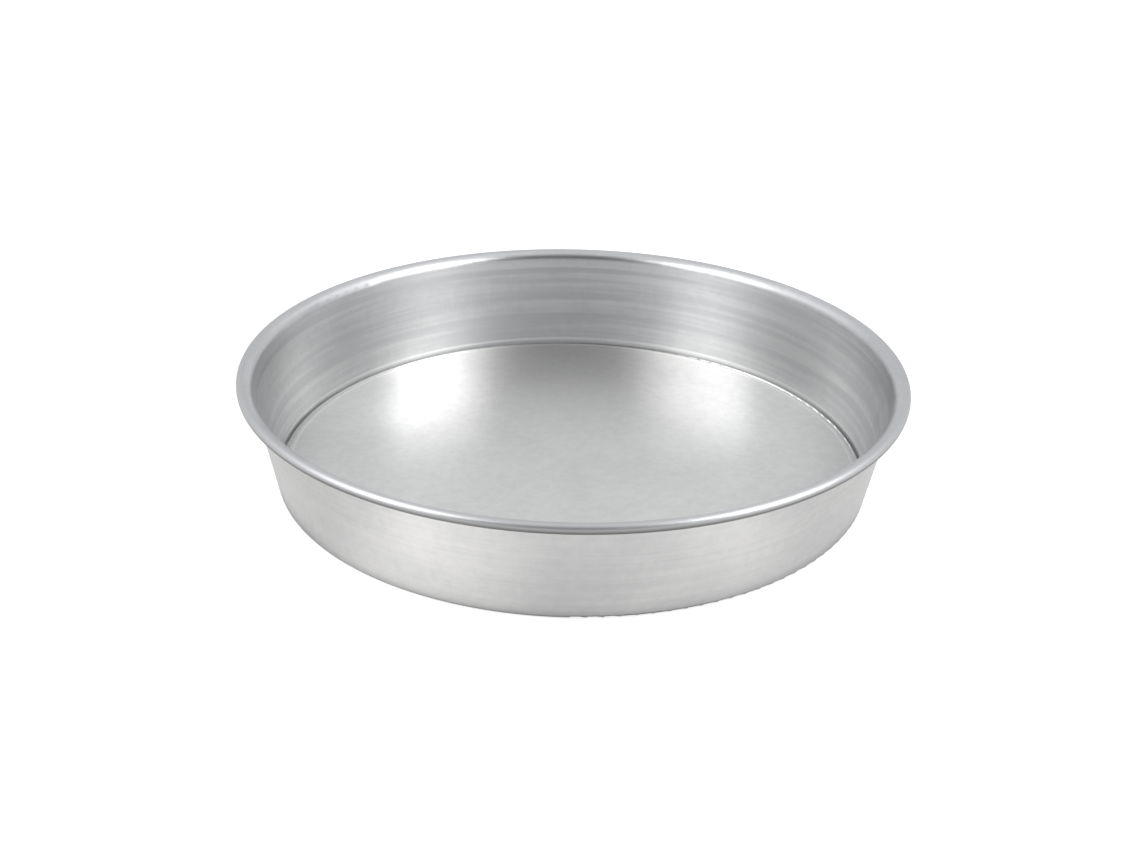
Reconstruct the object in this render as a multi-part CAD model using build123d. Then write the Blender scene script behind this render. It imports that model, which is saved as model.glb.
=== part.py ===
from build123d import *
import math
import os

# Round cake tin with sloping sides, a rolled rim and a loose base. All lengths are in millimetres.
# The origin is where the tin's axis meets the table, and +Z points up out of its mouth.

# Whole tin: the rim's outside diameter, the full height, and how far the wall leans out in degrees
rim_diameter = 305.0
tin_height = 51.0
wall_lean = 11.3

# Side: one sheet, turned in at the foot as a ledge, and curved out and rolled up at the rim
side_sheet = 0.9
foot_outer_radius = 2.2
ledge_flat = 6.5
ledge_edge_round = 0.3

# Rim: the short flare that leads out from the wall, and the bead rolled at its edge
flare_surface_radius = 5.5
flare_turn = 78.0
bead_height = 4.2
bead_edge_gap = 0.2

# Wire ring that the bead is rolled over
wire_clearance = 0.3

# Loose base: a flat disc that lies on the ledge, with a narrow pressed border
base_thickness = 1.5
base_play = 0.4
base_edge_round = 0.45
border_width = 2.6
border_drop = 0.25

# Middle line of the sheet, from which both its faces are half a sheet away
half_sheet = side_sheet / 2
foot_middle_radius = foot_outer_radius - half_sheet
flare_middle_radius = flare_surface_radius - half_sheet
bead_surface_radius = bead_height / 2
bead_middle_radius = bead_surface_radius - half_sheet

# Centre of the bead's round, from which the wall's middle line is found
bead_centre_r = rim_diameter / 2 - bead_surface_radius
bead_centre_z = tin_height - bead_surface_radius
flare_step = flare_middle_radius - bead_middle_radius
bead_reach = flare_middle_radius - flare_step * math.cos(math.radians(flare_turn))
lean = math.radians(wall_lean)


def wall_middle(z):
    """Radius of the wall's middle line at the height z."""
    return bead_centre_r - bead_reach / math.cos(lean) + (z - bead_centre_z) * math.tan(lean)


# Foot: where the ledge's flat meets the bend, and where the bend meets the wall
foot_turn = 90.0 - wall_lean
foot_tangent = foot_middle_radius * math.tan(math.radians(foot_turn) / 2)
ledge_outer_radius = wall_middle(half_sheet) - foot_tangent
ledge_inner_radius = ledge_outer_radius - ledge_flat
wall_start_z = half_sheet + foot_tangent * math.cos(lean)

# Top of the straight wall, where the flare begins
flare_centre_z = bead_centre_z - flare_step * math.sin(math.radians(wall_lean + flare_turn))
wall_end_z = flare_centre_z + flare_middle_radius * math.sin(lean)
wall_run = (wall_end_z - wall_start_z) / math.cos(lean)

# The bead turns half round, and then on until the sheet's edge is a small gap short of the flare's
# underside. Its centre, the flare's centre and that edge make a triangle with these sides.
edge_reach = flare_middle_radius - half_sheet - bead_edge_gap
edge_cosine = bead_surface_radius**2 + flare_step**2 - edge_reach**2
edge_cosine = edge_cosine / (2 * bead_surface_radius * flare_step)
half_turn = 180.0
closing_turn = math.degrees(math.acos(edge_cosine))

# Wire and base take their sizes from the side that holds them
wire_radius = bead_middle_radius - half_sheet - wire_clearance
base_radius = ledge_outer_radius - base_play
base_top_z = side_sheet + base_thickness


def along(point, heading, length):
    """The point a length away in a heading, in degrees from outwards towards up."""
    angle = math.radians(heading)
    return (point[0] + length * math.cos(angle), point[1] + length * math.sin(angle))


def bent_strip(start, heading, steps, thickness):
    """Section of a strip whose middle line is straight runs and round bends.

    A step is ("run", length) or ("bend", middle radius, turn), and a positive turn is to the left.
    """
    left, right = [], []
    point = start
    half = thickness / 2
    for step in steps:
        to_left = heading + 90
        if step[0] == "run":
            end = along(point, heading, step[1])
            left.append(Line(along(point, to_left, half), along(end, to_left, half)))
            right.append(Line(along(point, to_left, -half), along(end, to_left, -half)))
            point = end
            continue
        radius, turn = step[1], step[2]
        side = math.copysign(1, turn)
        centre = along(point, to_left, side * radius)
        first_angle = heading - side * 90
        left.append(CenterArc(centre, radius - side * half, first_angle, turn))
        right.append(CenterArc(centre, radius + side * half, first_angle, turn))
        heading += turn
        point = along(centre, heading - side * 90, radius)
    first_edge = Line(left[0] @ 0, right[0] @ 0)
    last_edge = Line(left[-1] @ 1, right[-1] @ 1)
    return Face(Wire([*left, last_edge, *right, first_edge]))


def turned(section):
    """A section drawn as radius and height, turned about the tin's axis."""
    return revolve(Plane.XZ * section, axis=Axis.Z)


def tin_side():
    """Ledge, foot bend, wall, flare and bead, as one sheet."""
    steps = [
        ("run", ledge_flat),
        ("bend", foot_middle_radius, foot_turn),
        ("run", wall_run),
        ("bend", flare_middle_radius, -flare_turn),
        ("bend", bead_middle_radius, -half_turn),
        ("bend", bead_middle_radius, -closing_turn),
    ]
    section = bent_strip((ledge_inner_radius, half_sheet), 0, steps, side_sheet)
    ledge_corners = section.vertices().sort_by(Axis.X)[:2]
    return turned(section.fillet_2d(ledge_edge_round, ledge_corners))


def rim_wire():
    """The ring inside the bead."""
    return turned(Pos(bead_centre_r, bead_centre_z) * Circle(wire_radius))


def loose_base():
    """The disc on the ledge, whose border slopes down a little to a rounded edge."""
    outline = Polyline(
        (0, side_sheet),
        (base_radius, side_sheet),
        (base_radius, base_top_z - border_drop),
        (base_radius - border_width, base_top_z),
        (0, base_top_z),
        close=True,
    )
    section = Face(Wire(outline.edges()))
    edge_corners = section.vertices().sort_by(Axis.X)[-2:]
    return turned(section.fillet_2d(base_edge_round, edge_corners))


nodes = {
    "tin_side": tin_side(),
    "rim_wire": rim_wire(),
    "loose_base": loose_base(),
}

os.makedirs("parts", exist_ok=True)
for name, solid in nodes.items():
    export_step(solid, f"parts/{name}.step")

print(f"ledge {ledge_inner_radius:.2f} to {ledge_outer_radius:.2f}, base radius {base_radius:.2f}")
print(f"wall middle line at the foot {wall_middle(half_sheet):.2f}, at its top {wall_middle(wall_end_z):.2f}")
print(f"wall from {wall_start_z:.2f} to {wall_end_z:.2f}, bead turns {half_turn + closing_turn:.1f} degrees")
print(f"wire radius {wire_radius:.2f}")
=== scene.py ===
import math
import bpy
from mathutils import Matrix, Vector

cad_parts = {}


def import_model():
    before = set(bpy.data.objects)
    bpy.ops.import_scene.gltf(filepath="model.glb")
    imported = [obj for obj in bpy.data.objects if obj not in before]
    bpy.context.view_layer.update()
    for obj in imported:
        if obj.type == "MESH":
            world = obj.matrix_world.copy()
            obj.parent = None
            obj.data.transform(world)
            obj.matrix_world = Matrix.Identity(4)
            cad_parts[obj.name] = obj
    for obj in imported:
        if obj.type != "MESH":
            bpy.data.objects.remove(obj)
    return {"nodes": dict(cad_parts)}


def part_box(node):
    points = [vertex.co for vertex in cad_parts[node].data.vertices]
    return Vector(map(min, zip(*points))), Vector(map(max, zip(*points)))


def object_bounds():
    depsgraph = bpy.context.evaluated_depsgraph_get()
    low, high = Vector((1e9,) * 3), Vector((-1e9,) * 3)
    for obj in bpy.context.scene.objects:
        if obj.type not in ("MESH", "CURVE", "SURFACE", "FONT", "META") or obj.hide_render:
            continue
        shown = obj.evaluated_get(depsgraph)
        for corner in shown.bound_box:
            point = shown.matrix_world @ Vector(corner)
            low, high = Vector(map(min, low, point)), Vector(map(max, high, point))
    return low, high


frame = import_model()

# Sizes taken from the frame, in metres, of the whole tin and of its loose base
cad_low, cad_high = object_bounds()
rim_radius = (cad_high.x - cad_low.x) / 2
tin_height = cad_high.z
base_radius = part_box("loose_base")[1].x
base_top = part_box("loose_base")[1].z

# Camera, from the outlines of rim, wall and foot in the photograph
lens_mm = 50.0
sensor_mm = 36.0
clip_range = (0.01, 20.0)
camera_pitch = math.radians(26.27)
camera_roll = math.radians(1.299)
camera_distance = 4.865 * rim_radius
camera_target = Vector((-0.0076 * rim_radius, 0, 0.1122 * rim_radius))

# The room as metal sees it rises from the backdrop's level to the ceiling's. Behind the camera a share of
# it is left, which falls from the first value to the second as the direction rises. High up at both sides
# a glow is added.
backdrop_level = 0.72
ceiling_level = 0.86
dark_side_shares = (1.0, 0.0)
side_glow = 0.41
room_tint = (0.98, 0.995, 1.02)

# Where each of these changes starts and ends, in the x, y and z of a direction of length 1
ceiling_z = (0.3, 0.9)
dark_side_y = (-0.7, -0.15)
dark_side_z = (0.12, 0.52)
side_glow_x = (0.4, 0.75)
side_glow_z = (0.3, 0.55)

# The room as matt surfaces see it is even and white
ambient_level = 0.8
white = (1.0, 1.0, 1.0)

# The floor glows a little less than white to the camera, and its lit part adds the rest but for the
# tin's soft shadow. Metal sees it at a level and tint of its own, of which the lit part gives a share.
floor_size = 12.0
floor_gap = 0.0002
floor_glow = 0.8
floor_colour = (0.4, 0.4, 0.4)
floor_lit_level = 0.32
floor_seen_in_metal = 0.725
floor_tint = (1.0, 0.983, 0.965)

# In metal the floor darkens close to the foot: from radius, to radius, share of its level at the first
contact_shade = (base_radius + 0.00155, base_radius + 0.00755, 0.5)

# In metal the floor has paler pools in front of the tin: azimuth, distance beyond the rim, radius and
# strength. Azimuths are in degrees from the camera's side, positive to its right.
light_pools = (
    (-30, 0.0125, 0.08, 0.38),
    (34, 0.0225, 0.08, 0.18),
)

# Softboxes: azimuth, elevation in degrees, distance, size in metres and power in watts
softboxes = (
    ("left_softbox", -65, 45, 1.0, 0.65, 3.2),
    ("right_softbox", 72, 45, 1.0, 0.56, 3.9),
)

# Patterns of the satin metal: spacing in metres and length in radians of its grooves, and cells to a
# metre, detail and roughness of its two noises
fine_grooves = (0.0004, 0.5)
broad_grooves = (0.0022, 1.2)
mottle_noise = (260.0, 4.0, 0.6)
smudge_noise = (24.0, 3.0, 0.55)

# Sum of all marks at which the metal is at its palest and at its darkest, what these patterns add to its
# roughness on average, and how strong and how deep the marks' relief is
shade_range = (0.45, 0.95)
pattern_roughness = 0.11
relief_strength = 0.35
relief_depth = 0.00006

# A quarter turn takes the spread of a highlight from along the grooves to across them
across_grooves = 0.25

# The wall's middle, by which its inner face is told from its outer one: radius at the table, slope, and
# how far to each side of it a mark of the inner face fades
wall_foot_radius = base_radius + 0.00175
wall_slope = 0.2
wall_middle_fade = 0.0002

# Dark rings round the wall's inner face, left by the spinning tool; the lowest, a third of the way up, is
# partly a painted reflection of the tin's front. Height, reach to each side and depth. With a noise of this
# scale and detail they fade between the two strengths, over this range of the noise.
tool_rings_and_reflection = (
    (0.0172, 0.0018, 1.0),
    (0.0270, 0.0024, 0.5),
    (0.0415, 0.0020, 0.6),
)
ring_noise = (1.6, 2.0)
ring_fade = (0.35, 0.6, 0.25, 1.0)

# Broad bands round the wall's inner face: spacing, length and detail, and the mean of their noise, which
# is taken off it so that a band darkens the wall or brightens it
inner_bands = (0.0045, 0.7, 4.0)
noise_mean = 0.5

# Upright scratches on the side: cells of noise to a radian and to a metre of height, its detail, and the
# range of the noise over which a scratch sets in
upright_cells = (190.0, 22.0)
upright_detail = 2.0
upright_range = (0.70, 0.76)

# Straight scratches on the loose base: turn in degrees, spacing, length and amount, and the range of the
# noise over which one sets in
base_scratches = (
    (25, 0.0009, 0.09, 0.27),
    (-64, 0.0008, 0.07, 0.26),
)
scratch_fade = 0.04

# The rim and the base's edge are duller than the rest: from radius, to radius where this is full
dull_rim = (rim_radius - 0.0065, rim_radius - 0.0020)
dull_edge = (base_radius - 0.00225, base_radius - 0.00085)

# Painted shade under the bead, and in the joint between wall and base, where shade falls in the gaps:
# from radius or height, to radius or height, share before and share after
painted_shade_colour = (0.22, 0.22, 0.22)
bead_radii = (rim_radius - 0.0049, rim_radius - 0.0039, 0.0, 1.0)
bead_underside = (tin_height - 0.0030, tin_height - 0.0010, 1.0, 0.0)
joint_on_wall = (base_top + 0.0002, base_top + 0.0010, 0.25, 0.0)
joint_on_base = (base_radius - 0.00105, base_radius - 0.00025, 0.0, 0.2)

# Painted highlights beside that joint, pale lines where its corners catch the light: height on the wall
# or radius on the base, half width at full strength, reach to each side, and strength
painted_highlight_colour = (0.95, 0.95, 0.94)
highlight_line_on_wall = (base_top + 0.0020, 0.0002, 0.0009, 0.6)
highlight_line_on_base = (base_radius - 0.00255, 0.0002, 0.0009, 0.5)

# The wire's spangle: scale and detail, its two colours, and its roughness over a range of the noise
spangle_noise = (700.0, 3.0)
spangle_colours = ((0.5, 0.51, 0.53), (0.68, 0.69, 0.7))
spangle_roughness = (0.3, 0.7, 0.35, 0.55)


class Shading:
    """A node tree, with short calls that add a node and mostly return its output."""

    def __init__(self, tree):
        self.tree = tree

    def add(self, kind, **settings):
        made = self.tree.nodes.new(kind)
        for key, value in settings.items():
            setattr(made, key, value)
        return made

    def feed(self, socket, value):
        """Links a socket to an output, or sets it to a number, a vector or a colour."""
        if isinstance(value, bpy.types.NodeSocket):
            self.tree.links.new(value, socket)
        elif socket.type == "RGBA":
            socket.default_value = (*value, 1)
        else:
            socket.default_value = value

    def math(self, operation, first, second=0.0):
        made = self.add("ShaderNodeMath", operation=operation)
        self.feed(made.inputs[0], first)
        self.feed(made.inputs[1], second)
        return made.outputs[0]

    def times(self, first, second):
        return self.math("MULTIPLY", first, second)

    def total(self, *values):
        result = values[0]
        for value in values[1:]:
            result = self.math("ADD", result, value)
        return result

    def vector(self, operation, first, second):
        made = self.add("ShaderNodeVectorMath", operation=operation)
        self.feed(made.inputs[0], first)
        self.feed(made.inputs[1], second)
        return made

    def combine(self, x, y, z):
        made = self.add("ShaderNodeCombineXYZ")
        for socket, value in zip(made.inputs, (x, y, z)):
            self.feed(socket, value)
        return made.outputs[0]

    def split(self, vector):
        made = self.add("ShaderNodeSeparateXYZ")
        self.feed(made.inputs[0], vector)
        return made.outputs

    def step(self, value, low, high, start, end):
        """A smooth step from start to end as the value goes from low to high."""
        made = self.add("ShaderNodeMapRange", interpolation_type="SMOOTHSTEP")
        for name, number in (("From Min", low), ("From Max", high), ("To Min", start), ("To Max", end)):
            made.inputs[name].default_value = number
        self.feed(made.inputs["Value"], value)
        return made.outputs["Result"]

    def line(self, value, middle, half_width, reach, strength):
        """A line about a middle value, at full strength to its half width and faded out at its reach."""
        away = self.math("ABSOLUTE", self.math("SUBTRACT", value, middle))
        return self.step(away, half_width, reach, strength, 0.0)

    def noise(self, vector, scale, detail=3.0, roughness=0.5):
        made = self.add("ShaderNodeTexNoise")
        made.inputs["Scale"].default_value = scale
        made.inputs["Detail"].default_value = detail
        made.inputs["Roughness"].default_value = roughness
        self.feed(made.inputs["Vector"], vector)
        return made.outputs["Fac"]

    def mix(self, share, first, second, data_type="RGBA"):
        """A colour or a number between two, by a share from 0 to 1."""
        made = self.add("ShaderNodeMix", data_type=data_type)
        self.feed(made.inputs["Factor"], share)
        self.feed(made.inputs["A"], first)
        self.feed(made.inputs["B"], second)
        return made.outputs["Result"]

    def ray_kind(self):
        """1 for rays from the camera, and 1 for rays that metal or glass sends on."""
        path = self.add("ShaderNodeLightPath")
        sent_on = self.math("MAXIMUM", path.outputs["Is Glossy Ray"], path.outputs["Is Transmission Ray"])
        return path.outputs["Is Camera Ray"], sent_on


class TurnedMetal(Shading):
    """A new metal for a turned piece, in which a point has a radius and a height."""

    def __init__(self, name):
        self.material = bpy.data.materials.new(name)
        self.material.use_nodes = True
        super().__init__(self.material.node_tree)
        self.shader = self.tree.nodes["Principled BSDF"]
        self.shader.inputs["Metallic"].default_value = 1.0
        self.point = self.add("ShaderNodeTexCoord").outputs["Object"]
        self.x, self.y, self.height = self.split(self.point)
        flat = self.combine(self.x, self.y, 0.0)
        self.radius = self.vector("LENGTH", flat, (0, 0, 0)).outputs["Value"]
        self.round = self.vector("NORMALIZE", flat, (0, 0, 0)).outputs["Vector"]

    def grooves(self, spacing, length, detail=3.0):
        """Noise drawn out round the axis: spacing across the grooves in metres, length in radians."""
        round_x, round_y, _ = self.split(self.round)
        across = self.math("DIVIDE", self.total(self.radius, self.height), spacing)
        round_x = self.math("DIVIDE", round_x, length)
        round_y = self.math("DIVIDE", round_y, length)
        return self.noise(self.combine(round_x, round_y, across), 1.0, detail)

    def strokes(self, turn, spacing, length, amount):
        """Thin straight scratches in one direction: 1 in a scratch, 0 beside it."""
        turned = self.add("ShaderNodeVectorRotate", rotation_type="Z_AXIS")
        self.feed(turned.inputs["Vector"], self.point)
        turned.inputs["Angle"].default_value = math.radians(turn)
        scales = (1 / spacing, 1 / length, 1 / length)
        scaled = self.vector("MULTIPLY", turned.outputs[0], scales).outputs["Vector"]
        start = 1 - amount
        return self.step(self.noise(scaled, 1.0, 1.0), start, start + scratch_fade, 0.0, 1.0)


class SatinMetal(TurnedMetal):
    """Turned sheet metal, whose fine grooves spread its highlights across them.

    The more grooving it has, from 0 to 1, the more its grooves show and the less its mottle does.
    """

    def __init__(self, name, pale, dark, roughness, anisotropy, grooving):
        super().__init__(name)
        self.pale = pale
        self.dark = dark
        self.roughness = roughness
        self.shader.inputs["Anisotropic"].default_value = anisotropy
        self.shader.inputs["Anisotropic Rotation"].default_value = across_grooves
        tangent = self.add("ShaderNodeTangent", direction_type="RADIAL", axis="Z")
        self.feed(self.shader.inputs["Tangent"], tangent.outputs["Tangent"])

        self.marks = []
        fine = self.grooves(*fine_grooves)
        broad = self.grooves(*broad_grooves)
        mottle = self.noise(self.point, *mottle_noise)
        smudge = self.noise(self.point, *smudge_noise)
        self.mark(fine, shade=0.30 * grooving, relief=0.5 * grooving)
        self.mark(broad, shade=0.35 * grooving, roughness=0.06, relief=0.6 * grooving)
        self.mark(mottle, shade=0.85 - 0.65 * grooving, roughness=0.06, relief=0.8 - 0.8 * grooving)
        self.mark(smudge, shade=0.55, roughness=0.10)

    def mark(self, pattern, **weights):
        """Adds a pattern, with how much it darkens the metal, roughens it and stands up from it."""
        self.marks.append((pattern, weights))

    def marks_in(self, kind):
        """The sum of all patterns that weigh in the shade, in the roughness or in the relief."""
        return self.total(*(
            self.times(pattern, weights[kind]) for pattern, weights in self.marks if kind in weights
        ))

    def finish(self, painted_shade, painted_highlight):
        """Feeds the shader from the marks, and from the shares of painted shade and of painted highlight.
        """
        colour = self.mix(self.step(self.marks_in("shade"), *shade_range, 0.0, 1.0), self.pale, self.dark)
        # Painted highlight lines beside the joint take over part of the colour
        colour = self.mix(painted_highlight, colour, painted_highlight_colour)
        # Painted shade, under the bead and in the joint, takes over part of the colour
        colour = self.mix(painted_shade, colour, painted_shade_colour)
        self.feed(self.shader.inputs["Base Color"], colour)
        rough = self.total(self.roughness - pattern_roughness, self.marks_in("roughness"))
        self.feed(self.shader.inputs["Roughness"], rough)
        relief = self.add("ShaderNodeBump")
        relief.inputs["Strength"].default_value = relief_strength
        relief.inputs["Distance"].default_value = relief_depth
        self.feed(relief.inputs["Height"], self.marks_in("relief"))
        self.feed(self.shader.inputs["Normal"], relief.outputs[0])
        return self.material


def side_satin():
    """The side: scratched satin aluminium with a duller rim, and rings and bands inside."""
    metal = SatinMetal(
        "side_satin",
        pale=(0.74, 0.74, 0.74),
        dark=(0.615, 0.62, 0.625),
        roughness=0.315,
        anisotropy=0.62,
        grooving=0.8,
    )
    at_table = metal.math("SUBTRACT", metal.radius, metal.times(metal.height, wall_slope))
    inner = wall_foot_radius - wall_middle_fade
    outer = wall_foot_radius + wall_middle_fade
    inside = metal.step(at_table, inner, outer, 1.0, 0.0)

    lines = [metal.line(metal.height, height, 0.0, reach, depth) for height, reach, depth in tool_rings_and_reflection]
    strength = metal.step(metal.noise(metal.round, *ring_noise), *ring_fade)
    rings = metal.times(metal.times(metal.total(*lines), strength), inside)
    bands = metal.times(metal.math("SUBTRACT", metal.grooves(*inner_bands), noise_mean), inside)

    angle = metal.math("ARCTAN2", metal.y, metal.x)
    cells_round, cells_up = upright_cells
    upright = metal.combine(metal.times(angle, cells_round), metal.times(metal.height, cells_up), 0.0)
    scratches = metal.step(metal.noise(upright, 1.0, upright_detail), *upright_range, 0.0, 1.0)
    rim = metal.step(metal.radius, *dull_rim, 0.0, 1.0)
    metal.mark(bands, shade=1.3)
    # The rings' darkening is in part a painted reflection: the lowest stands in for the tin's front
    # mirrored there
    metal.mark(rings, shade=1.0, roughness=0.05, relief=-1.4)
    metal.mark(scratches, shade=-0.4, relief=-0.8)
    metal.mark(rim, shade=0.3, roughness=0.11)

    # Painted shade on the underside of the bead, where it curls back towards the wall
    bead = metal.times(metal.step(metal.radius, *bead_radii), metal.step(metal.height, *bead_underside))
    # Painted shade on the wall's inner face just above the base, where the gap's shadow falls
    joint = metal.times(inside, metal.step(metal.height, *joint_on_wall))
    # Painted highlight: a pale line on the wall's inner face just above the joint
    painted_highlight = metal.times(inside, metal.line(metal.height, *highlight_line_on_wall))
    return metal.finish(metal.math("MAXIMUM", bead, joint), painted_highlight)


def base_satin():
    """The loose base: satin aluminium with circular brushing and straight scratches from use."""
    metal = SatinMetal(
        "base_satin",
        pale=(0.785, 0.782, 0.765),
        dark=(0.70, 0.698, 0.683),
        roughness=0.36,
        anisotropy=0.5,
        grooving=0.3,
    )
    scratches = metal.math("MAXIMUM", *(metal.strokes(*settings) for settings in base_scratches))
    metal.mark(scratches, shade=-0.16, relief=-0.25)
    metal.mark(metal.step(metal.radius, *dull_edge, 0.0, 1.0), shade=0.15, roughness=0.14)
    # Painted shade at the base's outer edge, where the gap's shadow falls
    joint = metal.step(metal.radius, *joint_on_base)
    # Painted highlight: a pale line where the slope of the base's border starts
    return metal.finish(joint, metal.line(metal.radius, *highlight_line_on_base))


def wire_steel():
    """The wire: dull zinc with a fine spangle."""
    metal = TurnedMetal("wire_steel")
    spangle = metal.noise(metal.point, *spangle_noise)
    metal.feed(metal.shader.inputs["Base Color"], metal.mix(spangle, *spangle_colours))
    metal.feed(metal.shader.inputs["Roughness"], metal.step(spangle, *spangle_roughness))
    return metal.material


def dress():
    """Gives each piece its metal."""
    finishes = {"tin_side": side_satin(), "loose_base": base_satin(), "rim_wire": wire_steel()}
    for name, material in finishes.items():
        slots = frame["nodes"][name].data.materials
        slots.clear()
        slots.append(material)


def direction(azimuth, elevation=0.0):
    """Direction from the tin's axis, by an azimuth and an elevation in radians."""
    level = math.cos(elevation)
    return Vector((math.sin(azimuth) * level, -math.cos(azimuth) * level, math.sin(elevation)))


def floor():
    """A wide floor just below the foot, which is white to the camera."""
    bpy.ops.mesh.primitive_plane_add(size=floor_size, location=(0, 0, -floor_gap))
    plane = bpy.context.object
    plane.name = "studio_floor"
    material = bpy.data.materials.new("studio_floor")
    material.use_nodes = True
    shading = Shading(material.node_tree)
    material.node_tree.nodes.clear()
    from_camera, sent_on = shading.ray_kind()
    point = shading.add("ShaderNodeTexCoord").outputs["Object"]
    metal_level = floor_seen_in_metal
    for azimuth, beyond_rim, radius, strength in light_pools:
        centre = direction(math.radians(azimuth)) * (rim_radius + beyond_rim)
        away = shading.vector("DISTANCE", point, centre).outputs["Value"]
        metal_level = shading.total(metal_level, shading.step(away, 0.0, radius, strength, 0.0))
    from_axis = shading.vector("LENGTH", point, (0, 0, 0)).outputs["Value"]
    metal_level = shading.times(metal_level, shading.step(from_axis, *contact_shade, 1.0))
    added = shading.math("MAXIMUM", shading.math("SUBTRACT", metal_level, floor_lit_level), 0.0)
    level = shading.total(shading.times(from_camera, floor_glow), shading.times(sent_on, added))

    matt = shading.add("ShaderNodeBsdfDiffuse")
    shading.feed(matt.inputs["Color"], floor_colour)
    glow = shading.add("ShaderNodeEmission")
    shading.feed(glow.inputs["Strength"], level)
    shading.feed(glow.inputs["Color"], shading.mix(sent_on, white, floor_tint))
    both = shading.add("ShaderNodeAddShader")
    shading.feed(both.inputs[0], matt.outputs[0])
    shading.feed(both.inputs[1], glow.outputs[0])
    out = shading.add("ShaderNodeOutputMaterial")
    shading.feed(out.inputs["Surface"], both.outputs[0])
    plane.data.materials.append(material)


def softbox(name, azimuth, elevation, distance, size, power):
    """A square soft lamp that points at the tin."""
    data = bpy.data.lights.new(name, "AREA")
    data.size = size
    data.energy = power
    lamp = bpy.data.objects.new(name, data)
    bpy.context.scene.collection.objects.link(lamp)
    away = direction(math.radians(azimuth), math.radians(elevation))
    lamp.location = away * distance
    lamp.rotation_euler = away.to_track_quat("Z", "Y").to_euler()


def world():
    """The room: pale with its own lights and darks to metal, even to matt surfaces, white to the camera."""
    made = bpy.data.worlds.new("studio")
    made.use_nodes = True
    bpy.context.scene.world = made
    shading = Shading(made.node_tree)
    made.node_tree.nodes.clear()
    x, y, z = shading.split(shading.add("ShaderNodeTexCoord").outputs["Generated"])
    room = shading.step(z, *ceiling_z, backdrop_level, ceiling_level)
    behind_camera = shading.step(y, *dark_side_y, 1.0, 0.0)
    share_left = shading.step(z, *dark_side_z, *dark_side_shares)
    share_lost = shading.times(behind_camera, shading.math("SUBTRACT", 1.0, share_left))
    dimmed = shading.times(room, shading.math("SUBTRACT", 1.0, share_lost))
    beside = shading.step(shading.math("ABSOLUTE", x), *side_glow_x, 0.0, side_glow)
    high_up = shading.step(z, *side_glow_z, 0.0, 1.0)
    room = shading.total(dimmed, shading.times(beside, high_up))

    from_camera, sent_on = shading.ray_kind()
    level = shading.math("MAXIMUM", shading.mix(sent_on, ambient_level, room, "FLOAT"), from_camera)
    background = shading.add("ShaderNodeBackground")
    shading.feed(background.inputs["Color"], shading.mix(sent_on, white, room_tint))
    shading.feed(background.inputs["Strength"], level)
    out = shading.add("ShaderNodeOutputWorld")
    shading.feed(out.inputs["Surface"], background.outputs[0])


def camera():
    """The camera, which looks at the tin from its place in the photograph."""
    data = bpy.data.cameras.new("camera")
    data.lens = lens_mm
    data.sensor_width = sensor_mm
    data.sensor_fit = "HORIZONTAL"
    data.clip_start, data.clip_end = clip_range
    made = bpy.data.objects.new("camera", data)
    bpy.context.scene.collection.objects.link(made)
    away = direction(0.0, camera_pitch)
    turn = Matrix.Rotation(math.pi / 2 - camera_pitch, 4, "X") @ Matrix.Rotation(camera_roll, 4, "Z")
    made.matrix_world = Matrix.Translation(camera_target + away * camera_distance) @ turn
    bpy.context.scene.camera = made


camera()
dress()
floor()
world()
for settings in softboxes:
    softbox(*settings)

bpy.context.scene.view_settings.view_transform = "Standard"
